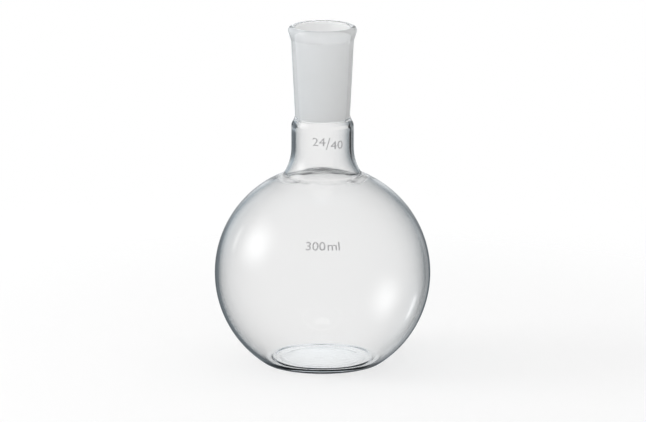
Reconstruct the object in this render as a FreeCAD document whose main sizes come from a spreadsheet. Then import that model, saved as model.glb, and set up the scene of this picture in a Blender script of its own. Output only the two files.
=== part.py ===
"""Flat bottom flask with a tapered ground socket, blown and joined as one piece of glass.

Millimetres. +Z is up, the origin is the middle of the foot, on the surface that the flask stands on.
The whole wall is one closed section, turned about Z. Its corners are rounded afterwards.
"""

import FreeCAD, Part

import math
import os

import Sketcher

# The driving dimensions: alias, value, what it is.
SIZES = (
    ("bulb_diameter", 93.0, "outside of the round body"),
    ("bulb_wall", 1.4, "wall of the round body"),
    ("foot_diameter", 49.4, "where the round body meets the foot, before that corner is rounded"),
    ("ring_width", 7.2, "ring that the flask stands on, measured in from that corner"),
    ("push_up_rise", 0.5, "height of the hollow inside that ring, at its middle"),
    ("floor_thickness", 2.2, "glass of the foot, whose inside floor rises with the hollow under it"),
    ("foot_corner_radius", 5.5, "outside, where the body turns into the foot"),
    ("floor_corner_radius", 10.0, "inside, where the body turns into the floor"),
    ("flare_spread", 3.7, "how far the neck sweeps out to its weld on the body"),
    ("flare_radius", 21.5, "radius of that sweep, outside"),
    ("weld_outside_radius", 1.2, "fillet of the weld, outside"),
    ("weld_inside_radius", 3.0, "rounding of the weld, inside"),
    ("neck_wall", 1.8, "wall of the clear neck"),
    ("neck_straight", 9.3, "straight part of the clear neck"),
    ("collar_step", 1.7, "how far the neck stands out from the lower end of the socket"),
    ("collar_radius", 3.5, "rounding of that step"),
    ("collar_fillet", 3.0, "fillet between that step and the socket"),
    ("collar_height", 3.1, "straight part of the neck to the lower end of the ground bore"),
    ("throat_radius", 4.0, "rounding of the inside under the ground bore"),
    ("socket_bore", 24.0, "ground bore at its upper end"),
    ("socket_taper", 0.1, "loss in the bore's diameter for each millimetre down"),
    ("ground_length", 40.0, "length of the ground bore"),
    ("socket_wall", 1.7, "wall of the socket"),
    ("lip_rise", 0.6, "top of the lip above the ground bore"),
    ("lip_inside_radius", 0.8, "rounding of the lip into the bore"),
    ("lip_outside_radius", 2.0, "rounding of the lip outside"),
    ("rim_lean", 20.0, "lean of the rim's underside from upright, in degrees"),
    ("rim_fillet", 3.0, "fillet between the rim's underside and the socket"),
)
SHEET = "Sizes"

# Which point of a line or an arc a constraint means.
START, END, CENTRE = 1, 2, 3
# The sketch's own axes, as constraints name them.
AXIS_H, AXIS_V = -1, -2
ORIGIN = (-1, START)


def make_sheet(doc):
    """Writes the driving dimensions to a spreadsheet and returns their values by alias."""
    sheet = doc.addObject("Spreadsheet::Sheet", SHEET)
    for row, (alias, value, meaning) in enumerate(SIZES, start=1):
        sheet.set(f"A{row}", meaning)
        sheet.set(f"B{row}", str(value))
        sheet.setAlias(f"B{row}", alias)
    doc.recompute()
    return {alias: float(sheet.get(alias)) for alias, _, _ in SIZES}


def beside(radius, run):
    """How far an arc runs along its first direction by the time it has left it by run."""
    return math.sqrt(radius**2 - (radius - run) ** 2)


def reach(radius, width):
    """How far a circle of this radius stands out at a place this far from its middle."""
    return math.sqrt(radius**2 - width**2)


def crossing(centre_a, radius_a, centre_b, radius_b):
    """The crossing of two circles that lies on the left of the way from the first to the second."""
    gap = math.dist(centre_a, centre_b)
    along = (radius_a**2 - radius_b**2 + gap**2) / (2 * gap)
    aside = reach(radius_a, along)
    ux = (centre_b[0] - centre_a[0]) / gap
    uz = (centre_b[1] - centre_a[1]) / gap
    return centre_a[0] + along * ux - aside * uz, centre_a[1] + along * uz + aside * ux


def foot_points(s):
    """Corners and centres of the foot and of the round body, as radius and height."""
    bulb_radius = s["bulb_diameter"] / 2
    foot_radius = s["foot_diameter"] / 2
    centre_height = reach(bulb_radius, foot_radius)
    ring_inside = foot_radius - s["ring_width"]
    dome_radius = (ring_inside**2 + s["push_up_rise"] ** 2) / (2 * s["push_up_rise"])
    floor_radius = dome_radius + s["floor_thickness"]
    dome_centre = (0, s["push_up_rise"] - dome_radius)
    bulb_centre = (0, centre_height)
    inside_radius = bulb_radius - s["bulb_wall"]
    return {
        "dome_centre": dome_centre,
        "dome_top": (0, s["push_up_rise"]),
        "ring_inside": (ring_inside, 0),
        "foot_corner": (foot_radius, 0),
        "bulb_centre": bulb_centre,
        "floor_corner": crossing(bulb_centre, inside_radius, dome_centre, floor_radius),
        "floor_middle": (0, s["push_up_rise"] + s["floor_thickness"]),
    }


def neck_points(s, bulb_centre):
    """Corners and centres of the sweep and of the clear neck, up to the lower end of the ground bore."""
    lean = math.cos(math.atan(s["socket_taper"] / 2))
    small = (s["socket_bore"] - s["socket_taper"] * s["ground_length"]) / 2
    socket_outside = small + s["socket_wall"] / lean
    neck = socket_outside + s["collar_step"]
    bore = neck - s["neck_wall"]
    weld = neck + s["flare_spread"]
    weld_height = bulb_centre[1] + reach(s["bulb_diameter"] / 2, weld)
    sweep_top = weld_height + beside(s["flare_radius"], s["flare_spread"])
    neck_top = sweep_top + s["neck_straight"]
    ground_bottom = neck_top + s["collar_height"]
    throat_bottom = ground_bottom - beside(s["throat_radius"], bore - small)
    sweep_centre = (neck + s["flare_radius"], sweep_top)
    inside_radius = s["bulb_diameter"] / 2 - s["bulb_wall"]
    sweep_radius = s["flare_radius"] + s["neck_wall"]
    return {
        "weld_outside": (weld, weld_height),
        "sweep_centre": sweep_centre,
        "neck_bottom": (neck, sweep_top),
        "neck_top": (neck, neck_top),
        "collar_centre": (neck - s["collar_radius"], neck_top),
        "socket_beside_ground": (socket_outside, ground_bottom),
        "ground_bottom": (small, ground_bottom),
        "throat_centre": (bore - s["throat_radius"], throat_bottom),
        "throat_bottom": (bore, throat_bottom),
        "bore_bottom": (bore, sweep_top),
        "weld_inside": crossing(bulb_centre, inside_radius, sweep_centre, sweep_radius),
    }


def socket_points(s, ground_bottom, outside, collar_centre):
    """Corners and centres of the socket and its lip. Outside is the socket's wall beside ground_bottom."""
    slope = s["socket_taper"] / 2
    taper = math.atan(slope)
    lean = math.radians(s["rim_lean"])
    top = ground_bottom[1] + s["ground_length"] + s["lip_rise"]
    inside_height = top - s["lip_inside_radius"]
    bore_there = ground_bottom[0] + (inside_height - ground_bottom[1]) * slope
    crown = bore_there + s["lip_inside_radius"] / math.cos(taper)
    outside_height = top - s["lip_outside_radius"]
    rim_edge = (
        crown + s["lip_outside_radius"] * math.cos(lean),
        outside_height - s["lip_outside_radius"] * math.sin(lean),
    )
    gap = rim_edge[0] - outside[0] - (rim_edge[1] - outside[1]) * slope
    rim_height = rim_edge[1] - gap / (math.tan(lean) - slope)
    # The collar's arc meets the socket's wall at the height that solves this square equation.
    offset = outside[0] + (collar_centre[1] - outside[1]) * slope - collar_centre[0]
    root = math.sqrt((offset * slope) ** 2 - (1 + slope**2) * (offset**2 - s["collar_radius"] ** 2))
    collar_rise = (root - offset * slope) / (1 + slope**2)
    return {
        "socket_foot": (collar_centre[0] + offset + slope * collar_rise, collar_centre[1] + collar_rise),
        "rim_root": (outside[0] + (rim_height - outside[1]) * slope, rim_height),
        "rim_edge": rim_edge,
        "lip_outside_centre": (crown, outside_height),
        "crown": (crown, top),
        "lip_inside_centre": (crown, inside_height),
        "ground_top": (
            crown - s["lip_inside_radius"] * math.cos(taper),
            inside_height + s["lip_inside_radius"] * math.sin(taper),
        ),
    }


def section_points(s):
    """Where all corners and centres of the section lie, as radius and height."""
    points = foot_points(s)
    points |= neck_points(s, points["bulb_centre"])
    points |= socket_points(
        s, points["ground_bottom"], points["socket_beside_ground"], points["collar_centre"]
    )
    return points


class Section:
    """A closed section in the body's XZ plane: named lines and arcs, tied by constraints to the sheet."""

    def __init__(self, body, name):
        self.sketch = body.newObject("Sketcher::SketchObject", name)
        plane = next(item for item in body.Origin.OriginFeatures if item.Role == "XZ_Plane")
        self.sketch.AttachmentSupport = [(plane, "")]
        self.sketch.MapMode = "FlatFace"
        self.edges = {}

    def line(self, name, first, last):
        """A straight stretch between two places given as radius and height."""
        segment = Part.LineSegment(FreeCAD.Vector(*first, 0), FreeCAD.Vector(*last, 0))
        self.edges[name] = self.sketch.addGeometry(segment)

    def arc(self, name, centre, first, last):
        """An arc that runs anticlockwise from its first place to its last."""
        circle = Part.Circle(FreeCAD.Vector(*centre, 0), FreeCAD.Vector(0, 0, 1), math.dist(centre, first))
        angles = [math.atan2(place[1] - centre[1], place[0] - centre[0]) for place in (first, last)]
        self.edges[name] = self.sketch.addGeometry(Part.ArcOfCircle(circle, *angles))

    def tie(self, kind, *places):
        """A constraint with no size, between named edges, their points and the sketch's axes."""
        self.sketch.addConstraint(Sketcher.Constraint(kind, *self.numbers(places)))

    def size(self, kind, label, expression, *places):
        """A constraint whose size follows the sheet."""
        value = float(self.sketch.evalExpression(expression))
        if kind == "Angle":
            value = math.radians(value)
        index = self.sketch.addConstraint(Sketcher.Constraint(kind, *self.numbers(places), value))
        self.sketch.renameConstraint(index, label)
        self.sketch.setExpression(f"Constraints.{label}", expression)

    def point(self, name, which):
        """Radius and height of an edge's end, as solved."""
        found = self.sketch.getPoint(self.edges[name], which)
        return found.x, found.y

    def numbers(self, places):
        """Swaps the names of edges for the sketch's own numbers."""
        return [self.edges.get(item, item) for item in places]


def draw_section(body, s):
    """Draws the wall's section, each corner where the sizes put it, from the foot up and back down inside."""
    p = section_points(s)
    section = Section(body, "WallSection")
    section.arc("dome", p["dome_centre"], p["ring_inside"], p["dome_top"])
    section.line("ring", p["ring_inside"], p["foot_corner"])
    section.arc("bulb", p["bulb_centre"], p["foot_corner"], p["weld_outside"])
    section.arc("sweep", p["sweep_centre"], p["neck_bottom"], p["weld_outside"])
    section.line("neck", p["neck_bottom"], p["neck_top"])
    section.arc("collar", p["collar_centre"], p["neck_top"], p["socket_foot"])
    section.line("socket", p["socket_foot"], p["rim_root"])
    section.line("rim", p["rim_root"], p["rim_edge"])
    section.arc("lip_outside", p["lip_outside_centre"], p["rim_edge"], p["crown"])
    section.arc("lip_inside", p["lip_inside_centre"], p["crown"], p["ground_top"])
    section.line("ground", p["ground_top"], p["ground_bottom"])
    section.arc("throat", p["throat_centre"], p["throat_bottom"], p["ground_bottom"])
    section.line("bore", p["throat_bottom"], p["bore_bottom"])
    section.arc("sweep_inside", p["sweep_centre"], p["bore_bottom"], p["weld_inside"])
    section.arc("bulb_inside", p["bulb_centre"], p["floor_corner"], p["weld_inside"])
    section.arc("floor", p["dome_centre"], p["floor_corner"], p["floor_middle"])
    section.line("axis", p["floor_middle"], p["dome_top"])
    return section


def tie_foot(section):
    """The ring that the flask stands on, the hollow inside it and the inside floor."""
    section.tie("PointOnObject", "dome", CENTRE, AXIS_V)
    section.tie("PointOnObject", "dome", END, AXIS_V)
    section.tie("PointOnObject", "dome", START, AXIS_H)
    section.tie("Coincident", "dome", START, "ring", START)
    section.tie("PointOnObject", "ring", END, AXIS_H)
    section.tie("Coincident", "floor", CENTRE, "dome", CENTRE)
    section.tie("PointOnObject", "floor", END, AXIS_V)
    section.tie("Coincident", "floor", END, "axis", START)
    section.tie("Coincident", "axis", END, "dome", END)
    section.size("DistanceX", "foot_radius", f"{SHEET}.foot_diameter / 2", *ORIGIN, "ring", END)
    section.size("DistanceX", "ring_width", f"{SHEET}.ring_width", "ring", START, "ring", END)
    section.size("DistanceY", "push_up_rise", f"{SHEET}.push_up_rise", *ORIGIN, "dome", END)
    section.size("DistanceY", "floor_thickness", f"{SHEET}.floor_thickness", "dome", END, "floor", END)


def tie_bulb(section):
    """The round body, outside and inside, about one centre on the axis."""
    radius = f"{SHEET}.bulb_diameter / 2"
    section.tie("PointOnObject", "bulb", CENTRE, AXIS_V)
    section.tie("Coincident", "ring", END, "bulb", START)
    section.tie("Coincident", "bulb_inside", CENTRE, "bulb", CENTRE)
    section.tie("Coincident", "bulb_inside", START, "floor", START)
    section.size("Radius", "bulb_radius", radius, "bulb")
    section.size("Radius", "bulb_inside_radius", f"{radius} - {SHEET}.bulb_wall", "bulb_inside")


def tie_neck(section):
    """The clear neck and the sweep that joins it to the round body."""
    section.tie("Coincident", "bulb", END, "sweep", END)
    section.tie("Tangent", "sweep", START, "neck", START)
    section.tie("Vertical", "neck")
    section.tie("Coincident", "sweep_inside", CENTRE, "sweep", CENTRE)
    section.tie("Tangent", "sweep_inside", START, "bore", END)
    section.tie("Vertical", "bore")
    section.tie("Coincident", "sweep_inside", END, "bulb_inside", END)
    section.size("DistanceX", "flare_spread", f"{SHEET}.flare_spread", "neck", START, "sweep", END)
    section.size("Radius", "flare_radius", f"{SHEET}.flare_radius", "sweep")
    section.size("DistanceX", "neck_wall", f"{SHEET}.neck_wall", "bore", END, "neck", START)
    section.size("DistanceY", "neck_straight", f"{SHEET}.neck_straight", "neck", START, "neck", END)


def tie_socket(section):
    """The ground bore, the wall round it and the shoulders below it."""
    slope = f"{SHEET}.socket_taper / 2"
    small = f"({SHEET}.socket_bore - {SHEET}.socket_taper * {SHEET}.ground_length) / 2"
    neck = f"{small} + {SHEET}.socket_wall / cos(atan({slope})) + {SHEET}.collar_step"
    section.tie("Tangent", "neck", END, "collar", START)
    section.tie("Coincident", "collar", END, "socket", START)
    section.tie("Parallel", "socket", "ground")
    section.tie("Coincident", "ground", END, "throat", END)
    section.tie("Tangent", "throat", START, "bore", START)
    section.size("DistanceX", "neck_radius", neck, *ORIGIN, "neck", START)
    section.size("Radius", "collar_radius", f"{SHEET}.collar_radius", "collar")
    section.size("Radius", "throat_radius", f"{SHEET}.throat_radius", "throat")
    section.size("DistanceX", "small_bore", small, *ORIGIN, "ground", END)
    section.size("DistanceY", "collar_height", f"{SHEET}.collar_height", "neck", END, "ground", END)
    section.size("Distance", "socket_wall", f"{SHEET}.socket_wall", "ground", END, "socket")
    section.size("Angle", "taper", f"90 deg - atan({slope})", AXIS_H, START, "socket", START)


def tie_rim(section):
    """The rounded lip and the lean of the rim below it."""
    height = f"{SHEET}.ground_length + {SHEET}.lip_rise"
    section.tie("Coincident", "socket", END, "rim", START)
    section.tie("Tangent", "rim", END, "lip_outside", START)
    section.tie("Coincident", "lip_outside", END, "lip_inside", START)
    section.tie("Tangent", "lip_inside", END, "ground", START)
    section.tie("Vertical", "lip_outside", CENTRE, "lip_outside", END)
    section.tie("Vertical", "lip_inside", CENTRE, "lip_inside", START)
    section.size("Radius", "lip_outside_radius", f"{SHEET}.lip_outside_radius", "lip_outside")
    section.size("Radius", "lip_inside_radius", f"{SHEET}.lip_inside_radius", "lip_inside")
    section.size("DistanceY", "ground_and_lip", height, "ground", END, "lip_outside", END)
    section.size("Angle", "rim_lean", f"90 deg - {SHEET}.rim_lean * 1 deg", AXIS_H, START, "rim", START)


def ring_name(shape, place, slack=1e-4):
    """The name of the round edge about Z that passes through a place given as radius and height."""
    for number, edge in enumerate(shape.Edges, start=1):
        if edge.Degenerated or not isinstance(edge.Curve, Part.Circle):
            continue
        if abs(edge.Curve.Radius - place[0]) < slack and abs(edge.Curve.Center.z - place[1]) < slack:
            return f"Edge{number}"
    raise ValueError(f"no round edge at radius {place[0]:.3f}, height {place[1]:.3f}")


def round_corner(doc, body, label, place, alias):
    """Rounds the edge that the section's corner at this place turns into."""
    base = body.Tip
    fillet = body.newObject("PartDesign::Fillet", label)
    fillet.Base = (base, [ring_name(base.Shape, place)])
    fillet.setExpression("Radius", f"{SHEET}.{alias}")
    doc.recompute()


def make_flask(doc, s):
    """The whole flask as one body: the section turned about Z, with its corners rounded."""
    body = doc.addObject("PartDesign::Body", "Flask")
    body.Label = "flask"
    section = draw_section(body, s)
    for tie_part in (tie_foot, tie_bulb, tie_neck, tie_socket, tie_rim):
        tie_part(section)
    doc.recompute()
    turned = body.newObject("PartDesign::Revolution", "TurnedWall")
    turned.Profile = section.sketch
    turned.ReferenceAxis = (section.sketch, ["V_Axis"])
    turned.Angle = 360
    doc.recompute()
    for label, edge, alias in (
        ("FootCorner", "ring", "foot_corner_radius"),
        ("FloorCorner", "floor", "floor_corner_radius"),
        ("WeldOutside", "sweep", "weld_outside_radius"),
        ("WeldInside", "sweep_inside", "weld_inside_radius"),
        ("CollarFillet", "collar", "collar_fillet"),
        ("RimFillet", "socket", "rim_fillet"),
    ):
        which = START if edge == "floor" else END
        round_corner(doc, body, label, section.point(edge, which), alias)
    return body


def check(doc, bodies):
    """Stops the build if any object failed or any sub-part is not one valid solid."""
    for item in doc.Objects:
        if "Invalid" in item.State or "Error" in item.State:
            raise RuntimeError(f"{item.Name} failed: {item.State}")
    for body in bodies:
        shape = body.Shape
        if shape.isNull() or not shape.isValid() or len(shape.Solids) != 1:
            raise RuntimeError(f"{body.Label} is not one valid solid")


def main():
    """Builds the flask, checks it and writes it to parts."""
    doc = FreeCAD.newDocument("FlatBottomFlask")
    sizes = make_sheet(doc)
    bodies = [make_flask(doc, sizes)]
    doc.recompute()
    check(doc, bodies)
    os.makedirs("parts", exist_ok=True)
    for body in bodies:
        body.Shape.exportStep(f"parts/{body.Label}.step")
        box = body.Shape.BoundBox
        volume = body.Shape.Volume / 1000
        print(f"{body.Label}: {box.XLength:.2f} x {box.YLength:.2f} x {box.ZLength:.2f} mm, {volume:.2f} cm3")


main()
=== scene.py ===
"""The look of a flat bottom flask with a ground socket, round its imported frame, in metres."""

import logging
import math
from dataclasses import dataclass, field
from enum import Enum
from typing import Any

import bmesh
import bpy
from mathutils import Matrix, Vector, noise


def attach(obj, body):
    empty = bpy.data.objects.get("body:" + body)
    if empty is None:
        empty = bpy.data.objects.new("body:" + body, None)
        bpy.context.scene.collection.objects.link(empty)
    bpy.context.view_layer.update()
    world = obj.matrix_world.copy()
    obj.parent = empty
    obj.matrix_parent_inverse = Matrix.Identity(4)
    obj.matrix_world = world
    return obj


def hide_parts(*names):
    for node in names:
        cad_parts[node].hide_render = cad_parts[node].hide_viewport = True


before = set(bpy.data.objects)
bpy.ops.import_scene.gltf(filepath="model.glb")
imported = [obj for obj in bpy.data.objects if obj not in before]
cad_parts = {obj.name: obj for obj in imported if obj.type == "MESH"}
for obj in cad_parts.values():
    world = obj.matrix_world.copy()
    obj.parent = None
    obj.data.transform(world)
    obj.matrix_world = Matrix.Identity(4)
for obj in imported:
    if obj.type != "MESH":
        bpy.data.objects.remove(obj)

LOG = logging.getLogger("flask")

NODE = "flask"
BODY = "root"
MM = 0.001
PHOTO_WIDTH = 646

Point = tuple[float, float]
Span = tuple[float, float]
Colour = tuple[float, float, float, float]


def placed(name: str, data: bpy.types.ID) -> bpy.types.Object:
    """A new object with this data, linked to the scene."""
    thing = bpy.data.objects.new(name, data)
    bpy.context.collection.objects.link(thing)
    return thing


# Section


FEWEST_LINE_STEPS = 2
FEWEST_ARC_STEPS = 4
FEWEST_BRIDGE_STEPS = 3


def between(first: Point, second: Point, share: float) -> Point:
    """The place a share of the way from the first to the second."""
    return (
        first[0] + (second[0] - first[0]) * share,
        first[1] + (second[1] - first[1]) * share,
    )


def reach(radius: float, width: float) -> float:
    """How far a circle of this radius stands out at a place this far from its middle."""
    return math.sqrt(radius**2 - width**2)


def on_circle(centre: Point, radius: float, angle: float) -> Point:
    """The place on a circle at an angle, counted from its right."""
    return centre[0] + radius * math.cos(angle), centre[1] + radius * math.sin(angle)


def crossing(centre_a: Point, radius_a: float, centre_b: Point, radius_b: float) -> Point:
    """One crossing of two circles.

    Args:
        centre_a: the first circle's centre.
        radius_a: its radius.
        centre_b: the second circle's centre.
        radius_b: its radius.

    Returns:
        The crossing on the left of the way from the first centre to the second.
    """
    gap = math.dist(centre_a, centre_b)
    along = (radius_a**2 - radius_b**2 + gap**2) / (2 * gap)
    aside = reach(radius_a, along)
    ux = (centre_b[0] - centre_a[0]) / gap
    uz = (centre_b[1] - centre_a[1]) / gap
    return centre_a[0] + along * ux - aside * uz, centre_a[1] + along * uz + aside * ux


@dataclass
class Contour:
    """A section drawn as one run of close points, whose corners are rounded afterwards."""

    fine_step: float = 0.1 * MM
    runs: list[list[Point]] = field(default_factory=list)
    corners: list[float] = field(default_factory=list)

    def line(self, first: Point, last: Point, corner: float = 0.0) -> None:
        """Adds a straight run.

        Args:
            first: where it starts, as radius and height.
            last: where it ends.
            corner: radius of the rounding at its end, or 0 for none.
        """
        count = max(FEWEST_LINE_STEPS, math.ceil(math.dist(first, last) / self.fine_step))
        self.runs.append([between(first, last, i / count) for i in range(count + 1)])
        self.corners.append(corner)

    def arc(self, centre: Point, first: Point, last: Point, corner: float = 0.0) -> None:
        """Adds an arc, the short way round.

        Args:
            centre: its centre, as radius and height.
            first: where it starts.
            last: where it ends.
            corner: radius of the rounding at its end, or 0 for none.
        """
        radius = math.dist(centre, first)
        start = math.atan2(first[1] - centre[1], first[0] - centre[0])
        end = math.atan2(last[1] - centre[1], last[0] - centre[0])
        turn = (end - start + math.pi) % math.tau - math.pi
        count = max(FEWEST_ARC_STEPS, math.ceil(abs(turn) * radius / self.fine_step))
        angles = [start + turn * i / count for i in range(count + 1)]
        self.runs.append([on_circle(centre, radius, angle) for angle in angles])
        self.corners.append(corner)

    def rounded(self) -> list[Point]:
        """The whole run with its corners rounded.

        Returns:
            Close points from the first run's start to the last run's end.
        """
        points = list(self.runs[0])
        for corner, run in zip(self.corners, self.runs[1:]):
            run = list(run)
            if corner:
                run_in = Vector(points[-1]) - Vector(points[-3])
                run_out = Vector(run[2]) - Vector(run[0])
                turn = run_in.angle(run_out)
                setback = corner * math.tan(turn / 2)
                points = trimmed(points[::-1], setback)[::-1]
                run = trimmed(run, setback)
                points += bridge(points, run, corner, self.fine_step)
            points += run if corner else run[1:]
        return points


def trimmed(points: list[Point], length: float) -> list[Point]:
    """Cuts a length off the start of a run.

    Args:
        points: the run's close points.
        length: how much to cut off.

    Returns:
        The points that are left, from the cut on.
    """
    gone = 0.0
    for i in range(len(points) - 1):
        step = math.dist(points[i], points[i + 1])
        if gone + step > length:
            return [between(points[i], points[i + 1], (length - gone) / step)] + points[i + 1 :]
        gone += step
    return points[-1:]


def bridge(before: list[Point], after: list[Point], radius: float, step: float) -> list[Point]:
    """Points of the arc that joins two runs smoothly.

    Args:
        before: the run that the arc leaves.
        after: the run that it meets.
        radius: the arc's radius.
        step: about how far apart its points are.

    Returns:
        The points between the two runs, without their own ends.
    """
    start, end = Vector(before[-1]), Vector(after[0])
    leave = (Vector(before[-1]) - Vector(before[-3])).normalized()
    meet = (Vector(after[2]) - Vector(after[0])).normalized()
    turn = leave.angle(meet)
    handle = 4 / 3 * math.tan(turn / 4) * radius
    first, second = start + leave * handle, end - meet * handle
    count = max(FEWEST_BRIDGE_STEPS, math.ceil(turn * radius / step))
    found = []
    for i in range(1, count):
        t = i / count
        place = (
            start * (1 - t) ** 3 + first * 3 * t * (1 - t) ** 2 + second * 3 * t**2 * (1 - t) + end * t**3
        )
        found.append((place.x, place.y))
    return found


@dataclass(frozen=True)
class GlassSizes:
    """The driving sizes of the glass, as the solid has them."""

    bulb_diameter: float = 93.0 * MM
    bulb_wall: float = 1.4 * MM
    foot_diameter: float = 49.4 * MM
    ring_width: float = 7.2 * MM
    push_up_rise: float = 0.5 * MM
    floor_thickness: float = 2.2 * MM
    foot_corner_radius: float = 5.5 * MM
    floor_corner_radius: float = 10.0 * MM
    flare_spread: float = 3.7 * MM
    flare_radius: float = 21.5 * MM
    weld_outside_radius: float = 1.2 * MM
    weld_inside_radius: float = 3.0 * MM
    neck_wall: float = 1.8 * MM
    neck_straight: float = 9.3 * MM
    collar_step: float = 1.7 * MM
    collar_radius: float = 3.5 * MM
    collar_fillet: float = 3.0 * MM
    collar_height: float = 3.1 * MM
    throat_radius: float = 4.0 * MM
    socket_bore: float = 24.0 * MM
    socket_taper: float = 0.1
    ground_length: float = 40.0 * MM
    socket_wall: float = 1.7 * MM
    lip_rise: float = 0.6 * MM
    lip_inside_radius: float = 0.8 * MM
    lip_outside_radius: float = 2.0 * MM
    rim_lean: float = math.radians(20.0)
    rim_fillet: float = 3.0 * MM

    @property
    def bulb_radius(self) -> float:
        """Outside of the round body."""
        return self.bulb_diameter / 2

    @property
    def bulb_centre(self) -> Point:
        """Middle of the round body."""
        return 0.0, reach(self.bulb_radius, self.foot_diameter / 2)

    @property
    def dome_radius(self) -> float:
        """How round the pushed-up middle of the foot is."""
        ring_inside = self.foot_diameter / 2 - self.ring_width
        return (ring_inside**2 + self.push_up_rise**2) / (2 * self.push_up_rise)

    @property
    def slope(self) -> float:
        """How much the ground bore's radius grows for each step up."""
        return self.socket_taper / 2

    @property
    def small_bore(self) -> float:
        """Radius of the ground bore at its lower end."""
        return (self.socket_bore - self.socket_taper * self.ground_length) / 2

    @property
    def socket_outside(self) -> float:
        """Radius of the socket's outside, beside the lower end of the ground bore."""
        return self.small_bore + self.socket_wall / math.cos(math.atan(self.slope))

    @property
    def neck_radius(self) -> float:
        """Outside of the clear neck."""
        return self.socket_outside + self.collar_step

    @property
    def weld(self) -> Point:
        """Where the neck's sweep meets the round body outside."""
        radius = self.neck_radius + self.flare_spread
        return radius, self.bulb_centre[1] + reach(self.bulb_radius, radius)

    @property
    def sweep_top(self) -> float:
        """Height where the neck's straight part starts."""
        return self.weld[1] + reach(self.flare_radius, self.flare_radius - self.flare_spread)

    @property
    def neck_top(self) -> float:
        """Height where the neck's straight part ends."""
        return self.sweep_top + self.neck_straight

    @property
    def ground_bottom(self) -> float:
        """Height of the lower end of the ground bore."""
        return self.neck_top + self.collar_height

    @property
    def bore(self) -> float:
        """Radius of the clear neck's inside."""
        return self.neck_radius - self.neck_wall

    @property
    def throat_bottom(self) -> float:
        """Height where the clear neck's bore starts to narrow."""
        width = self.throat_radius - self.bore + self.small_bore
        return self.ground_bottom - reach(self.throat_radius, width)

    @property
    def inner_weld(self) -> Point:
        """Where the neck's sweep meets the round body inside."""
        sweep_centre = (self.neck_radius + self.flare_radius, self.sweep_top)
        inner = self.bulb_radius - self.bulb_wall
        return crossing(self.bulb_centre, inner, sweep_centre, self.flare_radius + self.neck_wall)

    @property
    def top(self) -> float:
        """Height of the whole flask."""
        return self.ground_bottom + self.ground_length + self.lip_rise

    def outside(self) -> Contour:
        """Draws the outside.

        Returns:
            The contour from the middle of the foot up to the crown of the lip.
        """
        contour = Contour()
        foot = self.foot_diameter / 2
        ring_inside = foot - self.ring_width
        contour.arc((0, self.push_up_rise - self.dome_radius), (0, self.push_up_rise), (ring_inside, 0))
        contour.line((ring_inside, 0), (foot, 0), self.foot_corner_radius)
        contour.arc(self.bulb_centre, (foot, 0), self.weld, self.weld_outside_radius)
        neck = self.neck_radius
        contour.arc((neck + self.flare_radius, self.sweep_top), self.weld, (neck, self.sweep_top))
        contour.line((neck, self.sweep_top), (neck, self.neck_top))
        self.add_socket(contour)
        return contour

    def add_socket(self, contour: Contour) -> None:
        """Adds the shoulder, the socket's outside and the lip up to its crown.

        Args:
            contour: the outside, drawn up to the top of the neck.
        """
        centre = (self.neck_radius - self.collar_radius, self.neck_top)
        offset = self.socket_outside + (self.neck_top - self.ground_bottom) * self.slope - centre[0]
        lean = 1 + self.slope**2
        root = math.sqrt((offset * self.slope) ** 2 - lean * (offset**2 - self.collar_radius**2))
        rise = (root - offset * self.slope) / lean
        socket_foot = (centre[0] + offset + self.slope * rise, centre[1] + rise)
        crown = self.crown
        edge = (
            crown[0] + self.lip_outside_radius * math.cos(self.rim_lean),
            crown[1] - self.lip_outside_radius * (1 + math.sin(self.rim_lean)),
        )
        gap = edge[0] - self.socket_outside - (edge[1] - self.ground_bottom) * self.slope
        root_height = edge[1] - gap / (math.tan(self.rim_lean) - self.slope)
        rim_root = (self.socket_outside + (root_height - self.ground_bottom) * self.slope, root_height)
        contour.arc(centre, (self.neck_radius, self.neck_top), socket_foot, self.collar_fillet)
        contour.line(socket_foot, rim_root, self.rim_fillet)
        contour.line(rim_root, edge)
        contour.arc((crown[0], crown[1] - self.lip_outside_radius), edge, crown)

    @property
    def crown(self) -> Point:
        """The highest ring of the lip."""
        height = self.top - self.lip_inside_radius
        bore = self.small_bore + (height - self.ground_bottom) * self.slope
        return bore + self.lip_inside_radius / math.cos(math.atan(self.slope)), self.top

    def inside(self) -> Contour:
        """Draws the inside.

        Returns:
            The contour from the crown of the lip down to the middle of the floor.
        """
        contour = Contour()
        taper = math.atan(self.slope)
        crown = self.crown
        centre = (crown[0], crown[1] - self.lip_inside_radius)
        ground_top = (
            centre[0] - self.lip_inside_radius * math.cos(taper),
            centre[1] + self.lip_inside_radius * math.sin(taper),
        )
        small = (self.small_bore, self.ground_bottom)
        bore = self.bore
        throat = (bore, self.throat_bottom)
        sweep_centre = (self.neck_radius + self.flare_radius, self.sweep_top)
        inner = self.bulb_radius - self.bulb_wall
        weld = self.inner_weld
        floor_top = (0.0, self.push_up_rise + self.floor_thickness)
        dome = self.dome_radius + self.floor_thickness
        under = (0.0, floor_top[1] - dome)
        floor = crossing(self.bulb_centre, inner, under, dome)
        contour.arc(centre, crown, ground_top)
        contour.line(ground_top, small)
        contour.arc((bore - self.throat_radius, throat[1]), small, throat)
        contour.line(throat, (bore, self.sweep_top))
        contour.arc(sweep_centre, (bore, self.sweep_top), weld, self.weld_inside_radius)
        contour.arc(self.bulb_centre, weld, floor, self.floor_corner_radius)
        contour.arc(under, floor, floor_top)
        return contour


# Glass body


def bell(off: float, spread: float) -> float:
    """A smooth bump: 1 in its middle and near 0 beyond two spreads."""
    return math.exp(-((off / spread) ** 2))


@dataclass(frozen=True)
class Wave:
    """A smooth chance change along a ring, the same in every build."""

    pace: float
    start: tuple[float, float, float] = (0.0, 0.0, 0.0)

    def at(self, around: Vector) -> float:
        """Its height at a place of the ring, about -1 to 1."""
        return noise.noise(around * self.pace + Vector(self.start))


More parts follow.
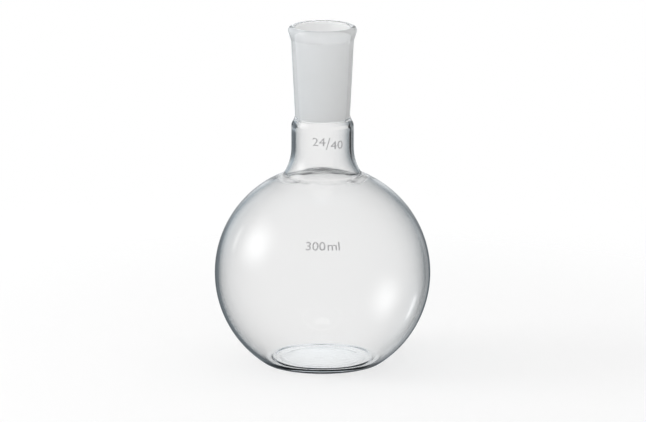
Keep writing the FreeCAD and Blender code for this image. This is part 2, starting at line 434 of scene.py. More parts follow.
@dataclass(frozen=True)
class FloorRing:
    """One faint ring on the floor."""

    radius: float
    size: float
    spread: float


@dataclass(frozen=True)
class HandWork:
    """The small unevenness that blowing and welding by hand leave in the glass."""

    inside_start: float = 4.0
    seam_outside: float = 0.16 * MM
    seam_inside: float = 0.40 * MM
    seam_spread: float = 2.1 * MM
    seam_wander: float = 1.5 * MM
    seam_path: Wave = Wave(1.3)
    lumps: Wave = Wave(2.1, (5.0, 0.0, 0.0))
    small_lumps: Wave = Wave(4.7)
    small_share: float = 0.6
    lift_outside: float = 0.4 * MM
    lift_inside: float = 0.7 * MM
    lift_spread: float = 4.5 * MM
    lifts: Wave = Wave(1.0, (0.0, 0.0, 2.0))
    thinning: float = 0.6 * MM
    thinning_spread: float = 4.3 * MM
    thinning_rise: float = 1.5 * MM
    ridge: float = 0.16 * MM
    ridge_spread: float = 0.55 * MM
    ridge_path: Wave = Wave(2.4, (0.0, 7.0, 0.0))
    ridge_heights: Wave = Wave(3.1, (0.0, 0.0, 9.0))
    ridge_change: float = 2.0
    wall: float = 0.035 * MM
    wall_size: float = 17.0 * MM
    foot: float = 0.05 * MM
    foot_spread: float = 4.0 * MM
    foot_waves: Wave = Wave(1.7)
    throat: float = 0.14 * MM
    throat_spread: float = 0.5 * MM
    swells: Wave = Wave(1.9, (3.0, 3.0, 0.0))
    swell_share: float = 0.6
    floor_rings: tuple[FloorRing, ...] = (
        FloorRing(21.3 * MM, 0.31 * MM, 1.0 * MM),
        FloorRing(17.6 * MM, 0.06 * MM, 0.55 * MM),
        FloorRing(15.6 * MM, 0.03 * MM, 0.55 * MM),
    )

    def at(self, place: Point, facing: Point, angle: float, inside: bool, sizes: GlassSizes) -> float:
        """How far the surface stands off the true form, towards its open side.

        Args:
            place: the ring's radius and height.
            facing: the way its surface faces, outwards and up.
            angle: how far round the ring.
            inside: whether it is the inner surface.
            sizes: the true form.

        Returns:
            The distance in metres.
        """
        ring = Vector((math.cos(angle), math.sin(angle), 0.0))
        around = ring + Vector((0.0, 0.0, self.inside_start if inside else 0.0))
        off = self.seam(place, around, inside, sizes) + self.drift(place, around, inside, sizes)
        lift = self.lift_inside if inside else self.lift_outside
        near_weld = bell(math.dist(place, sizes.weld), self.lift_spread)
        off += lift * near_weld * facing[1] * self.lifts.at(ring)
        return off + (self.ripple(place, around, sizes) if inside else 0.0)

    def seam(self, place: Point, around: Vector, inside: bool, sizes: GlassSizes) -> float:
        """The lumps and the ridge of the weld, and the thinner wall at it.

        Args:
            place: the ring's radius and height.
            around: the way round the ring, as the waves take it.
            inside: whether it is the inner surface.
            sizes: the true form.

        Returns:
            The distance that they add.
        """
        off = math.dist(place, sizes.weld) * (-1 if place[1] < sizes.weld[1] else 1)
        wander = self.seam_wander * self.seam_path.at(around)
        lump = self.lumps.at(around) + self.small_share * self.small_lumps.at(around)
        size = self.seam_inside if inside else self.seam_outside
        broad = size * lump * bell(off - wander, self.seam_spread)
        if not inside:
            return broad
        crest = self.seam_wander * self.ridge_path.at(around)
        sharp = self.ridge * bell(off - crest + self.seam_wander / 2, self.ridge_spread)
        sharp *= 1 + self.ridge_change * self.ridge_heights.at(around)
        thin = self.thinning * bell(off - self.thinning_rise, self.thinning_spread)
        return broad + (sharp - thin)

    def ripple(self, place: Point, around: Vector, sizes: GlassSizes) -> float:
        """The faint rings that turning in the flame leaves in the throat and on the floor.

        Args:
            place: the ring's radius and height.
            around: the way round the ring, as the waves take it.
            sizes: the true form.

        Returns:
            The distance that they add.
        """
        swell = 1 + self.swell_share * self.swells.at(around)
        if place[1] > sizes.sweep_top:
            return swell * self.throat * bell(place[1] - sizes.throat_bottom, self.throat_spread)
        if place[1] > sizes.bulb_centre[1]:
            return 0.0
        return sum(
            swell * ring.size * bell(place[0] - ring.radius, ring.spread) for ring in self.floor_rings
        )

    def drift(self, place: Point, around: Vector, inside: bool, sizes: GlassSizes) -> float:
        """The slow change of the wall, and the waves round the foot.

        Args:
            place: the ring's radius and height.
            around: the way round the ring, as the waves take it.
            inside: whether it is the inner surface.
            sizes: the true form.

        Returns:
            The distance that they add.
        """
        if not inside or place[1] > sizes.neck_top:
            return 0.0
        spot = Vector((around.x * place[0], around.y * place[0], place[1])) / self.wall_size
        near_foot = bell(place[1] - sizes.floor_thickness, self.foot_spread)
        share = min(1.0, place[0] / self.wall_size)
        waves = self.foot * near_foot * self.foot_waves.at(around)
        return share**2 * (self.wall * noise.noise(spot) + waves)


@dataclass
class GlassBody:
    """The whole wall as one closed lathe mesh."""

    sizes: GlassSizes = GlassSizes()
    hand_work: HandWork = HandWork()
    segments: int = 256
    longest_step: float = 1.35 * MM
    seam_step: float = 0.45 * MM
    seam_zone: float = 5.0 * MM
    ring_zone: float = 2.0
    sharpest_turn: float = math.radians(7.0)

    def thinned(self, points: list[Point]) -> list[Point]:
        """Keeps as many of the close points as the form needs.

        Args:
            points: a run of close points.

        Returns:
            Points that are close together where the run bends or where the weld is.
        """
        kept = [points[0]]
        length = 0.0
        turned = 0.0
        for i in range(1, len(points) - 1):
            length += math.dist(points[i - 1], points[i])
            before = Vector(points[i]) - Vector(points[i - 1])
            after = Vector(points[i + 1]) - Vector(points[i])
            turned += before.angle(after)
            near_weld = math.dist(points[i], self.sizes.weld) < self.seam_zone
            limit = self.seam_step if near_weld or self.ringed(points[i]) else self.longest_step
            if length >= limit or turned >= self.sharpest_turn:
                kept.append(points[i])
                length = 0.0
                turned = 0.0
        kept.append(points[-1])
        return kept

    def ringed(self, place: Point) -> bool:
        """Whether a place of the section is near one of the faint rings.

        Args:
            place: its radius and height.

        Returns:
            True within a few spreads of a ring on the floor or in the throat.
        """
        work = self.hand_work
        if abs(place[1] - self.sizes.throat_bottom) < self.ring_zone * work.throat_spread:
            return True
        if place[1] >= self.ring_zone * self.sizes.floor_thickness:
            return False
        return any(abs(place[0] - ring.radius) < self.ring_zone * ring.spread for ring in work.floor_rings)

    def rings(self) -> list[tuple[Point, Point, bool]]:
        """Lists the rings of the mesh, from the foot up the outside and down the inside.

        Returns:
            Each ring's place, the way its surface faces, and whether it is inside.
        """
        outside = self.thinned(self.sizes.outside().rounded())
        inside = self.thinned(self.sizes.inside().rounded())[1:]
        places = outside + inside
        found = []
        for i, place in enumerate(places):
            before = places[max(i - 1, 0)]
            after = places[min(i + 1, len(places) - 1)]
            along = Vector(after) - Vector(before)
            facing = Vector((along.y, -along.x)).normalized()
            found.append((place, (facing.x, facing.y), i >= len(outside)))
        return found

    def row(
        self, mesh: bmesh.types.BMesh, place: Point, facing: Point, inside: bool
    ) -> list[bmesh.types.BMVert]:
        """Adds the corner points of one ring.

        Args:
            mesh: what they are added to.
            place: the ring's radius and height.
            facing: the way its surface faces.
            inside: whether it is inside.

        Returns:
            The points, in order round the ring.
        """
        row = []
        for i in range(self.segments):
            angle = math.tau * i / self.segments
            off = self.hand_work.at(place, facing, angle, inside, self.sizes)
            radius = place[0] + facing[0] * off
            height = place[1] + facing[1] * off
            row.append(mesh.verts.new((radius * math.cos(angle), radius * math.sin(angle), height)))
        return row

    def close(
        self, mesh: bmesh.types.BMesh, row: list[bmesh.types.BMVert], height: float, flip: bool
    ) -> None:
        """Closes a ring to a point on the axis.

        Args:
            mesh: what the faces are added to.
            row: the ring's points.
            height: the point's height.
            flip: whether the faces run the other way round.
        """
        middle = mesh.verts.new((0, 0, height))
        for i in range(self.segments):
            pair = [row[i], row[(i + 1) % self.segments]]
            mesh.faces.new((pair[::-1] if flip else pair) + [middle])

    def build(self) -> bpy.types.Object:
        """Makes the mesh.

        Returns:
            The object, linked to the scene, with smooth shading and no material.
        """
        rings = self.rings()
        mesh = bmesh.new()
        rows = [self.row(mesh, place, facing, inside) for place, facing, inside in rings[1:-1]]
        for lower, upper in zip(rows, rows[1:]):
            for i in range(self.segments):
                j = (i + 1) % self.segments
                mesh.faces.new((lower[i], lower[j], upper[j], upper[i]))
        self.close(mesh, rows[0], rings[0][0][1], True)
        self.close(mesh, rows[-1], rings[-1][0][1], False)
        bmesh.ops.recalc_face_normals(mesh, faces=mesh.faces)
        for face in mesh.faces:
            face.smooth = True
        data = bpy.data.meshes.new("glass_body")
        mesh.to_mesh(data)
        mesh.free()
        return placed("glass_body", data)


# Printed numbers


class Carrier(Enum):
    """Which wall a printed mark lies on."""

    BULB = "bulb"
    NECK = "neck"


@dataclass(frozen=True)
class Mark:
    """One run of printed figures, fired onto the outside of the glass."""

    name: str
    words: str
    carrier: Carrier
    width: float
    height: float
    middle_height: float
    sideways: float = 0.0
    boldness: float = 0.007
    word_gap: float = 0.28
    curve_steps: int = 6
    same_place: float = 0.00001
    film: float = 0.03 * MM
    longest_edge: float = 0.45 * MM
    shortest_edge: float = 0.002 * MM
    most_splits: int = 4

    def flat(self) -> bmesh.types.BMesh:
        """Draws the figures.

        Returns:
            A flat fine mesh of their true size, about their middle.
        """
        curve = bpy.data.curves.new(self.name, "FONT")
        curve.body = self.words
        curve.fill_mode = "FRONT"
        curve.space_word = self.word_gap
        curve.offset = self.boldness
        curve.resolution_u = self.curve_steps
        letters = placed(self.name, curve)
        ready = letters.evaluated_get(bpy.context.evaluated_depsgraph_get())
        data = bpy.data.meshes.new_from_object(ready)
        mesh = bmesh.new()
        mesh.from_mesh(data)
        bpy.data.objects.remove(letters)
        bpy.data.curves.remove(curve)
        bpy.data.meshes.remove(data)
        bmesh.ops.remove_doubles(mesh, verts=mesh.verts, dist=self.same_place)
        low = [min(v.co[i] for v in mesh.verts) for i in range(2)]
        high = [max(v.co[i] for v in mesh.verts) for i in range(2)]
        for vert in mesh.verts:
            x = (vert.co.x - (low[0] + high[0]) / 2) / (high[0] - low[0]) * self.width
            y = (vert.co.y - (low[1] + high[1]) / 2) / (high[1] - low[1]) * self.height
            vert.co = (x, y, 0)
        self.refine(mesh)
        return mesh

    def refine(self, mesh: bmesh.types.BMesh) -> None:
        """Splits long edges, so that the figures can bend round the glass.

        Args:
            mesh: the flat figures.
        """
        self.clean(mesh)
        for _ in range(self.most_splits):
            longest = [edge for edge in mesh.edges if edge.calc_length() > self.longest_edge]
            if not longest:
                return
            bmesh.ops.subdivide_edges(mesh, edges=longest, cuts=1)
            self.clean(mesh)

    def clean(self, mesh: bmesh.types.BMesh) -> None:
        """Makes all faces triangles with some area.

        Args:
            mesh: the flat figures.
        """
        bmesh.ops.triangulate(mesh, faces=mesh.faces)
        bmesh.ops.dissolve_degenerate(mesh, dist=self.shortest_edge, edges=mesh.edges)
        bmesh.ops.triangulate(mesh, faces=mesh.faces)

    def on_glass(self, across: float, up: float, lift: float, sizes: GlassSizes) -> Vector:
        """Where a place of the flat print lies on the glass.

        Args:
            across: distance to the right of the mark's middle.
            up: distance above it.
            lift: height above the glass.
            sizes: the glass's form.

        Returns:
            The place, on the side of the flask that faces the camera.
        """
        if self.carrier is Carrier.NECK:
            angle = (across + self.sideways) / sizes.neck_radius
            out = sizes.neck_radius + lift
            return Vector((out * math.sin(angle), -out * math.cos(angle), self.middle_height + up))
        radius = sizes.bulb_radius
        middle = math.asin((self.middle_height - sizes.bulb_centre[1]) / radius)
        tilt = middle + up / radius
        angle = (across + self.sideways) / (radius * math.cos(middle))
        flat = (radius + lift) * math.cos(tilt)
        height = sizes.bulb_centre[1] + (radius + lift) * math.sin(tilt)
        return Vector((flat * math.sin(angle), -flat * math.cos(angle), height))

    def build(self, sizes: GlassSizes) -> bpy.types.Object:
        """Makes the print as a thin closed film just clear of the glass.

        Args:
            sizes: the glass's form.

        Returns:
            The object, linked to the scene.
        """
        mesh = self.flat()
        thick = bmesh.ops.extrude_face_region(mesh, geom=list(mesh.faces), use_keep_orig=True)
        lifted = {part for part in thick["geom"] if isinstance(part, bmesh.types.BMVert)}
        for vert in mesh.verts:
            lift = self.film * (2 if vert in lifted else 1)
            vert.co = self.on_glass(vert.co.x, vert.co.y, lift, sizes)
        bmesh.ops.recalc_face_normals(mesh, faces=mesh.faces)
        data = bpy.data.meshes.new(self.name)
        mesh.to_mesh(data)
        mesh.free()
        return placed(self.name, data)


@dataclass
class Print:
    """The capacity on the body and the socket's size on the neck."""

    marks: tuple[Mark, ...] = (
        Mark(
            "capacity_mark",
            "300 ml",
            Carrier.BULB,
            width=14.5 * MM,
            height=3.8 * MM,
            middle_height=60.2 * MM,
            sideways=0.1 * MM,
        ),
        Mark(
            "socket_mark_width",
            "24",
            Carrier.NECK,
            width=5.6 * MM,
            height=3.5 * MM,
            middle_height=99.6 * MM,
            sideways=-1.6 * MM,
            boldness=0.0,
        ),
        Mark(
            "socket_mark_stroke",
            "/",
            Carrier.NECK,
            width=1.9 * MM,
            height=5.2 * MM,
            middle_height=98.8 * MM,
            sideways=2.4 * MM,
            boldness=-0.01,
        ),
        Mark(
            "socket_mark_length",
            "40",
            Carrier.NECK,
            width=5.8 * MM,
            height=3.5 * MM,
            middle_height=98.0 * MM,
            sideways=6.4 * MM,
            boldness=0.0,
        ),
    )

    def build(self, sizes: GlassSizes) -> list[bpy.types.Object]:
        """Makes every mark, in order."""
        return [mark.build(sizes) for mark in self.marks]


# Shader maths


@dataclass
class Nodes:
    """Adds nodes to one shader tree."""

    tree: bpy.types.NodeTree

    def add(
        self, kind: str, settings: dict[str, Any] | None = None, sockets: dict[Any, Any] | None = None
    ) -> bpy.types.Node:
        """Adds one node.

        Args:
            kind: the node's type.
            settings: what is set on the node itself, before its sockets.
            sockets: for each input, by name or number, a plain value, a Value or a socket to link.

        Returns:
            The node.
        """
        node = self.tree.nodes.new(kind)
        for name, value in (settings or {}).items():
            setattr(node, name, value)
        for name, value in (sockets or {}).items():
            self.feed(node.inputs[name], value)
        return node

    def feed(self, socket: bpy.types.NodeSocket, value: Any) -> None:
        """Gives an input what it needs.

        Args:
            socket: the input.
            value: a Value or a socket to link, or a plain value to set.
        """
        if isinstance(value, Value):
            value = value.socket
        if isinstance(value, bpy.types.NodeSocket):
            self.tree.links.new(value, socket)
        else:
            socket.default_value = value

    def value(
        self,
        kind: str,
        output: str | int,
        settings: dict[str, Any] | None = None,
        sockets: dict[Any, Any] | None = None,
    ) -> "Value":
        """Adds one node, as add does, and returns one of its outputs."""
        return Value(self, self.add(kind, settings, sockets).outputs[output])

    def math(self, operation: str, *values: Any) -> "Value":
        """Adds a Math node on these values."""
        return self.value("ShaderNodeMath", 0, {"operation": operation}, dict(enumerate(values)))

    def ramp(self, source: "Value", start: float, end: float) -> "Value":
        """A smooth step from 0 to 1 while the source goes from start to end."""
        sockets = {"Value": source, "From Min": start, "From Max": end}
        return self.value("ShaderNodeMapRange", "Result", {"interpolation_type": "SMOOTHSTEP"}, sockets)

    def dot(self, way: "Value", fixed: Vector) -> "Value":
        """How far a direction from the tree goes along a fixed one."""
        settings = {"operation": "DOT_PRODUCT"}
        return self.value("ShaderNodeVectorMath", "Value", settings, {0: way, 1: tuple(fixed)})

    def length(self, place: "Value") -> "Value":
        """How far a place is from the origin."""
        return self.value("ShaderNodeVectorMath", "Value", {"operation": "LENGTH"}, {0: place})

    def parts(self, place: "Value") -> list["Value"]:
        """The three parts of a place or a direction."""
        split = self.add("ShaderNodeSeparateXYZ", None, {0: place})
        return [Value(self, socket) for socket in split.outputs]

    def section(self, place: "Value") -> tuple["Value", "Value"]:
        """A place's distance from the upright axis, and its height."""
        x, y, z = self.parts(place)
        return (x * x + y * y).root(), z

    def noise(self, place: "Value", scale: float, detail: float) -> "Value":
        """Chance grain, from 0 to 1."""
        sockets = {"Vector": place, "Scale": scale, "Detail": detail}
        return self.value("ShaderNodeTexNoise", 0, None, sockets)

    def once(self, kind: str) -> "Value":
        """Whether the light has met something in one way.

        Args:
            kind: Glossy, Diffuse or Transmission.

        Returns:
            1 where it has met something in this way at least once, else 0.
        """
        return self.math("MINIMUM", self.value("ShaderNodeLightPath", f"{kind} Depth"), 1.0)

    def mixed(self, share: Any, first: Any, second: Any) -> "Value":
        """A colour a share of the way from the first to the second."""
        # A Mix node's colours are its inputs 6 and 7, and the mixed colour is its output 2.
        return self.value("ShaderNodeMix", 2, {"data_type": "RGBA"}, {0: share, 6: first, 7: second})


@dataclass
class Value:
    """A number that a shader tree works out, for use in plain expressions."""

    nodes: Nodes
    socket: bpy.types.NodeSocket

    def __add__(self, other: Any) -> "Value":
        """Sum."""
        return self.nodes.math("ADD", self, other)

    def __radd__(self, other: Any) -> "Value":
        """Sum with a number on the left."""
        return self.nodes.math("ADD", other, self)

    def __sub__(self, other: Any) -> "Value":
        """Difference."""
        return self.nodes.math("SUBTRACT", self, other)

    def __rsub__(self, other: Any) -> "Value":
        """Difference from a number on the left."""
        return self.nodes.math("SUBTRACT", other, self)

    def __mul__(self, other: Any) -> "Value":
        """Product."""
        return self.nodes.math("MULTIPLY", self, other)

    def __rmul__(self, other: Any) -> "Value":
        """Product with a number on the left."""
        return self.nodes.math("MULTIPLY", other, self)

    def __neg__(self) -> "Value":
        """The same number below zero."""
        return self.nodes.math("MULTIPLY", self, -1.0)

    def __abs__(self) -> "Value":
        """Size without sign."""
        return self.nodes.math("ABSOLUTE", self)

    def root(self) -> "Value":
        """Square root."""
        return self.nodes.math("SQRT", self)

    def larger(self, other: Any) -> "Value":
        """The larger of the two."""
        return self.nodes.math("MAXIMUM", self, other)

    def positive(self) -> "Value":
        """1 above zero, else 0."""
        return self.nodes.math("GREATER_THAN", self, 0.0)


# Finishes


def new_material(name: str) -> tuple[bpy.types.Material, Nodes]:
    """An empty material and its tree."""
    material = bpy.data.materials.new(name)
    material.use_nodes = True
    material.node_tree.nodes.clear()
    return material, Nodes(material.node_tree)


@dataclass(frozen=True)
class ClearGlass:
    """Clear borosilicate glass, ground white where the socket is ground."""

    name: str = "borosilicate_glass"
    ior: float = 1.474
    tint: Colour = (0.992, 0.991, 0.990, 1.0)
    body_tint: Colour = (0.80, 0.87, 0.88, 1.0)
    body_depth: float = 14.0
    ground_tint: Colour = (0.90, 0.90, 0.90, 1.0)
    ground_clear: float = 0.28
    ground_roughness: float = 0.70
    grain: float = 0.2
    grain_scale: float = 900.0
    grain_detail: float = 4.0
    grit: float = 0.35 * MM
    grit_scale: float = 420.0
    grit_detail: float = 3.0
    edge_blur: float = 0.25 * MM
    lip_share: float = 0.4
    polished_band: float = 5.2 * MM
    polish: float = 0.18
    # Painted light: a pale frosted patch inside the weld lightens the dark crescent that the glass shows
    # there.
    painted_weld_light: float = 0.40
    painted_weld_light_zone: Span = (1.2 * MM, 3.4 * MM)
    painted_weld_light_shift: float = 1.7 * MM
    painted_weld_light_side: Span = (-17.0 * MM, -10.0 * MM)

    def ground_mask(self, nodes: Nodes, place: Value, sizes: GlassSizes) -> Value:
        """Finds the ground bore.

        Args:
            nodes: the material's tree.
            place: the place on the glass.
            sizes: the glass's form.

        Returns:
            1 on the ground bore and 0 elsewhere, with slightly ragged ends and a weaker band under the lip.
        """
        radius, z = nodes.section(place)
        height = z + (nodes.noise(place, self.grit_scale, self.grit_detail) - 0.5) * self.grit
        bottom = sizes.ground_bottom
        above = nodes.ramp(height, bottom, bottom + self.edge_blur)
        top = bottom + sizes.ground_length - sizes.lip_inside_radius * self.lip_share
        under = 1 - nodes.ramp(height, top, top + self.edge_blur)
        middle = sizes.small_bore + sizes.socket_wall / 2
        wall = radius - (z - bottom) * sizes.slope - middle
        band = bottom + sizes.ground_length - self.polished_band
        fade = 1 - nodes.ramp(height, band, band + 2 * self.edge_blur) * self.polish
        return above * under * fade * (1 - nodes.ramp(wall, -self.edge_blur, self.edge_blur))

    def painted_weld_light_mask(self, nodes: Nodes, place: Value, sizes: GlassSizes) -> Value:
        """Finds the pale frosted patch beside the weld, on the inside of the round body, which is painted
        light that lightens the weld's dark crescent.

        Args:
            nodes: the material's tree.
            place: the place on the glass.
            sizes: the glass's form.

        Returns:
            How cloudy the glass is. The front middle of the weld stays clear.
        """
        radius, z = nodes.section(place)
        across = radius - (sizes.inner_weld[0] + self.painted_weld_light_shift)
        up = z - (sizes.inner_weld[1] - self.painted_weld_light_shift / 2)
        off = (across * across + up * up).root()
        side = nodes.ramp(nodes.parts(place)[1], *self.painted_weld_light_side)
        return (1 - nodes.ramp(off, *self.painted_weld_light_zone)) * side * self.painted_weld_light

    def build(self, sizes: GlassSizes) -> bpy.types.Material:
        """Makes the material.

        Args:
            sizes: the glass's form, which says where the ground zone is.

        Returns:
            The material.
        """
        material, nodes = new_material(self.name)
        place = nodes.value("ShaderNodeTexCoord", "Object")
        clear = nodes.add(
            "ShaderNodeBsdfPrincipled",
            None,
            {"Base Color": self.tint, "Roughness": 0.0, "IOR": self.ior, "Transmission Weight": 1.0},
        )
        grain = nodes.noise(place, self.grain_scale, self.grain_detail)
        ground = nodes.add(
            "ShaderNodeBsdfPrincipled",
            None,
            {
                "Base Color": self.ground_tint,
                "Roughness": self.ground_roughness + (grain - 0.5) * self.grain,
                "IOR": self.ior,
                "Transmission Weight": self.ground_clear,
            },
        )
        # Beside the weld the frosted glass is painted light that lightens its dark crescent.
        mask = self.ground_mask(nodes, place, sizes).larger(self.painted_weld_light_mask(nodes, place, sizes))
        surface = nodes.add(
            "ShaderNodeMixShader", None, {0: mask, 1: clear.outputs[0], 2: ground.outputs[0]}
        )
        inner = nodes.add(
            "ShaderNodeVolumeAbsorption", None, {"Color": self.body_tint, "Density": self.body_depth}
        )
        nodes.add("ShaderNodeOutputMaterial", None, {0: surface.outputs[0], 1: inner.outputs[0]})
        return material


@dataclass(frozen=True)
class Enamel:
    """Pale grey enamel, fired on and slightly uneven."""

    name: str = "fired_enamel"
    thin: Colour = (0.64, 0.64, 0.64, 1.0)
    thick: Colour = (0.45, 0.45, 0.46, 1.0)
    roughness: float = 0.45
    patches: Span = (0.3, 0.7)
    patch_scale: float = 1500.0
    patch_detail: float = 2.0
    patch_roughness: float = 0.2

    def build(self) -> bpy.types.Material:
        """Makes the material.

        Returns:
            The material.
        """
        material, nodes = new_material(self.name)
        place = nodes.value("ShaderNodeTexCoord", "Object")
        patches = nodes.noise(place, self.patch_scale, self.patch_detail)
        colour = nodes.mixed(nodes.ramp(patches, *self.patches), self.thin, self.thick)
        roughness = self.roughness + (patches - 0.5) * self.patch_roughness
        shader = nodes.add(
            "ShaderNodeBsdfPrincipled", None, {"Base Color": colour, "Roughness": roughness}
        )
        nodes.add("ShaderNodeOutputMaterial", None, {0: shader.outputs[0]})
        return material


# Studio


@dataclass(frozen=True)
class Card:
    """A bright card or soft box round the flask, seen only in mirror images.

    Its azimuth is 0 towards the camera and grows to the left.
    """

    strength: float
    elevation: float
    azimuth: float
    width: Span
    height: Span

    @property
    def way(self) -> Vector:
        """The way from the flask to its middle."""
        flat = math.cos(self.elevation)
        ahead = -flat * math.cos(self.azimuth)
        return Vector((-flat * math.sin(self.azimuth), ahead, math.sin(self.elevation)))

    def light(self, nodes: Nodes, way: Value) -> Value:
        """Its radiance, full inside the first half-size and nothing beyond the second.

        Args:
            nodes: the world's tree.
            way: the direction looked at.

        Returns:
            The radiance.
        """
        side = self.way.cross(Vector((0, 0, 1))).normalized()
        facing = nodes.dot(way, self.way)
        across = 1 - nodes.ramp(abs(nodes.dot(way, side)), *self.width)
        up = 1 - nodes.ramp(abs(nodes.dot(way, side.cross(self.way))), *self.height)
        return across * up * facing.positive() * self.strength


@dataclass(frozen=True)
class Surround:
    """The white round the flask. Seen bent through the glass, it gets dimmer and cooler to the sides."""

    right: float = 0.50
    right_side: Span = (-0.02, 0.32)
    left: float = 0.20
    left_side: Span = (0.02, 0.31)
    end: Span = (0.45, 0.60)
    low: Span = (-0.31, -0.20)
    cool: float = 0.6

    def dimming(self, nodes: Nodes, way: Value) -> Value:
        """How much of the white is missing through the glass.

        Args:
            nodes: the world's tree.
            way: the direction looked at.

        Returns:
            The missing share.
        """
        x, y, z = nodes.parts(way)
        right = nodes.ramp(x, *self.right_side) * self.right
        left = nodes.ramp(-x, *self.left_side) * self.left
        near = y.positive() * (1 - nodes.ramp(abs(x), *self.end))
        return (right + left) * near * nodes.ramp(z, *self.low)


@dataclass(frozen=True)
class MirroredRoom:
    """What the glass mirrors: a dark cool room with a pale backdrop, a soft box and cards."""

    dark: float = 0.02
    colour: Colour = (0.86, 0.98, 1.07, 1.0)
    backdrop: float = 0.84
    backdrop_half: Span = (0.05, 0.37)
    sweep: float = 0.40
    sweep_half: Span = (0.04, 0.18)
    sweep_low: Span = (-0.80, -0.50)
    table: float = 0.14
    table_half: Span = (0.36, 0.54)
    wall: float = 0.29
    wall_lean: float = 0.60
    wall_low: Span = (-0.24, 0.10)
    wall_high: Span = (0.10, 0.95)
    wall_front: Span = (0.20, 0.95)
    glow: float = 0.14
    glow_way: tuple[float, float, float] = (-0.60, 0.70, 0.40)
    glow_reach: Span = (0.10, 0.95)
    glow_side: Span = (0.22, 0.55)
    box: Card = Card(2.5, math.radians(23.6), math.radians(88.0), (0.0, 0.50), (0.0, 0.44))
    strip: Card = Card(1.0, math.radians(-25.0), math.radians(236.0), (0.03, 0.09), (0.06, 0.15))
    side: Card = Card(0.25, math.radians(-22.0), math.radians(207.0), (0.06, 0.15), (0.30, 0.55))
    low: Card = Card(0.20, math.radians(-30.0), math.radians(196.0), (0.05, 0.11), (0.10, 0.20))

    def behind(self, nodes: Nodes, way: Value) -> Value:
        """How far a direction goes to the wall behind the flask, from 0 to 1."""
        y, z = nodes.parts(way)[1:]
        upper = nodes.ramp(z, *self.wall_low) * (1 - nodes.ramp(z, *self.wall_high))
        return upper * nodes.ramp(y, *self.wall_front)

    def cool_light(self, nodes: Nodes, way: Value) -> Value:
        """The radiance of the room itself.

        Args:
            nodes: the world's tree.
            way: the direction looked at.

        Returns:
            The radiance, which is to be coloured.
        """
        x, y, z = nodes.parts(way)
        ahead = y.positive() * nodes.ramp(z, *self.sweep_low)
        sweep = (1 - nodes.ramp(abs(x), *self.sweep_half)) * ahead * self.sweep
        table = (1 - nodes.ramp(abs(x), *self.table_half)) * ahead * self.table
        wall = self.behind(nodes, way) * (1 - x * self.wall_lean) * self.wall
        glow = nodes.ramp(nodes.dot(way, Vector(self.glow_way).normalized()), *self.glow_reach)
        glow = glow * nodes.ramp(-x, *self.glow_side) * self.glow
        return self.dark + table.larger(wall.larger(sweep)) + glow

    def white_light(self, nodes: Nodes, way: Value) -> Value:
        """The radiance of the backdrop, the soft box and the cards.

        Args:
            nodes: the world's tree.
            way: the direction looked at.

        Returns:
            The radiance, which is white.
        """
        middle = 1 - nodes.ramp(abs(nodes.parts(way)[0]), *self.backdrop_half)
        light = self.behind(nodes, way) * middle * self.backdrop
        for card in (self.box, self.strip, self.side, self.low):
            light = light + card.light(nodes, way)
        return light


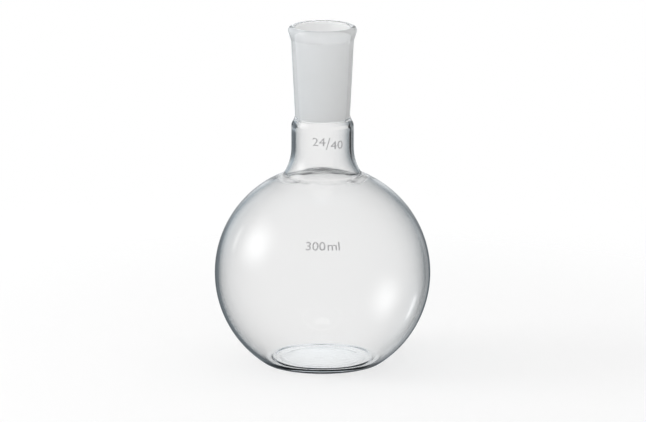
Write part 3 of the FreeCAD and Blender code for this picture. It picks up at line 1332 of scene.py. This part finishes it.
@dataclass(frozen=True)
class Studio:
    """A pale floor in a white surround, the room that the glass mirrors, and the light on what is matt."""

    surround: Surround = Surround()
    room: MirroredRoom = MirroredRoom()
    ambient: float = 0.80
    ambient_lean: float = 0.10
    behind_glass: float = 0.38
    cool_light: float = 0.62
    cool_side: Span = (0.0, 1.0)
    floor_size: float = 1.6
    floor_corners: int = 96
    floor_colour: Colour = (0.97, 0.97, 0.97, 1.0)
    floor_lift: float = 0.58
    floor_solid: float = 0.12
    floor_gone: float = 0.36
    lamp_power: float = 3.0
    lamp_width: float = 0.50
    lamp_height: float = 0.40
    lamp_distance: float = 0.95

    def build_world(self) -> None:
        """Makes the world.

        It differs for light that was mirrored, that was spread by something matt, and that came straight.
        """
        world = bpy.data.worlds.new("studio")
        world.use_nodes = True
        world.node_tree.nodes.clear()
        bpy.context.scene.world = world
        nodes = Nodes(world.node_tree)
        way = nodes.value("ShaderNodeTexCoord", "Generated")
        mirrored = nodes.once("Glossy")
        spread = nodes.once("Diffuse")
        through = nodes.once("Transmission")
        facing = nodes.dot(way, self.room.box.way)
        dimmed = self.surround.dimming(nodes, way) * through
        cool = self.surround.cool
        seen = mirrored * self.room.white_light(nodes, way) + (1 - mirrored) * (1 - dimmed * (1 + cool))
        shade = mirrored * self.room.cool_light(nodes, way) + (1 - mirrored) * dimmed * cool
        lit = self.ambient * (1 + facing * self.ambient_lean) + through * self.behind_glass
        cool_lit = through * nodes.ramp(facing, *self.cool_side) * self.cool_light
        white = nodes.add(
            "ShaderNodeBackground",
            None,
            {"Color": (1, 1, 1, 1), "Strength": (1 - spread) * seen + spread * lit},
        )
        tinted = nodes.add(
            "ShaderNodeBackground",
            None,
            {"Color": self.room.colour, "Strength": (1 - spread) * shade + spread * cool_lit},
        )
        both = nodes.add("ShaderNodeAddShader", None, {0: white.outputs[0], 1: tinted.outputs[0]})
        nodes.add("ShaderNodeOutputWorld", None, {0: both.outputs[0]})

    def build_floor(self) -> None:
        """Makes the pale floor, which keeps the shadow and runs out into the white surround."""
        mesh = bmesh.new()
        bmesh.ops.create_circle(mesh, cap_ends=True, segments=self.floor_corners, radius=self.floor_size)
        data = bpy.data.meshes.new("floor")
        mesh.to_mesh(data)
        mesh.free()
        placed("floor", data)
        data.materials.append(self.floor_material())

    def floor_material(self) -> bpy.types.Material:
        """Makes the floor's finish, which fades out away from the flask and isn't seen through glass.

        Returns:
            The material.
        """
        material, nodes = new_material("pale_floor")
        path = nodes.add("ShaderNodeLightPath")
        lift = nodes.add(
            "ShaderNodeEmission", None, {"Color": (1, 1, 1, 1), "Strength": path.outputs["Is Camera Ray"]}
        )
        matt = nodes.add("ShaderNodeBsdfDiffuse", None, {"Color": self.floor_colour})
        pale = nodes.add(
            "ShaderNodeMixShader", None, {0: self.floor_lift, 1: matt.outputs[0], 2: lift.outputs[0]}
        )
        open_air = nodes.add("ShaderNodeBsdfTransparent")
        far = nodes.length(nodes.value("ShaderNodeTexCoord", "Object"))
        glossy = Value(nodes, path.outputs["Is Glossy Ray"])
        through = Value(nodes, path.outputs["Is Transmission Ray"])
        gone = nodes.ramp(far, self.floor_solid, self.floor_gone).larger(glossy.larger(through))
        surface = nodes.add(
            "ShaderNodeMixShader", None, {0: gone, 1: pale.outputs[0], 2: open_air.outputs[0]}
        )
        nodes.add("ShaderNodeOutputMaterial", None, {0: surface.outputs[0]})
        return material

    def build_lamp(self) -> None:
        """Makes the lamp behind the soft box, which lights what is matt."""
        lamp = bpy.data.lights.new("soft_lamp", "AREA")
        lamp.shape = "RECTANGLE"
        lamp.size = self.lamp_width
        lamp.size_y = self.lamp_height
        lamp.energy = self.lamp_power
        holder = placed("soft_lamp", lamp)
        holder.visible_glossy = False
        holder.visible_transmission = False
        way = self.room.box.way
        holder.location = way * self.lamp_distance
        holder.rotation_euler = (-way).to_track_quat("-Z", "Y").to_euler()

    def build(self) -> None:
        """Makes the world, the floor and the lamp."""
        self.build_world()
        self.build_floor()
        self.build_lamp()


@dataclass(frozen=True)
class View:
    """The camera, at the photograph's viewing angle."""

    elevation: float = math.radians(12.5)
    distance: float = 3.5
    scale: float = 0.4307 * MM
    aim_height: float = 66.4 * MM
    aim_side: float = 0.2 * MM
    sensor: float = 36.0
    sight: float = 20.0

    def build(self) -> None:
        """Makes the camera and gives it to the scene."""
        camera = bpy.data.cameras.new("camera")
        camera.sensor_width = self.sensor
        camera.lens = self.sensor * self.distance / (PHOTO_WIDTH * self.scale)
        camera.clip_end = self.sight
        holder = placed("camera", camera)
        aim = Vector((self.aim_side, 0, self.aim_height))
        back = Vector((0, -math.cos(self.elevation), math.sin(self.elevation)))
        holder.location = aim + back * self.distance
        holder.rotation_euler = (-back).to_track_quat("-Z", "Y").to_euler()
        bpy.context.scene.camera = holder


def dress(piece: bpy.types.Object, material: bpy.types.Material) -> None:
    """Gives a piece its material and its body.

    Args:
        piece: the piece.
        material: its finish.
    """
    piece.data.materials.append(material)
    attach(piece, BODY)


def main() -> None:
    """Builds the flask, its print, the studio and the camera."""
    logging.basicConfig(level=logging.INFO, format="%(name)s: %(message)s")
    sizes = GlassSizes()
    glass = GlassBody(sizes).build()
    dress(glass, ClearGlass().build(sizes))
    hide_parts(NODE)
    LOG.info("%s: %d faces", glass.name, len(glass.data.polygons))
    enamel = Enamel().build()
    for mark in Print().build(sizes):
        dress(mark, enamel)
        LOG.info("%s: %d faces", mark.name, len(mark.data.polygons))
    Studio().build()
    View().build()
    bpy.context.scene.view_settings.view_transform = "Standard"


if __name__ == "__main__":
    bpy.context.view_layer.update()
    main()
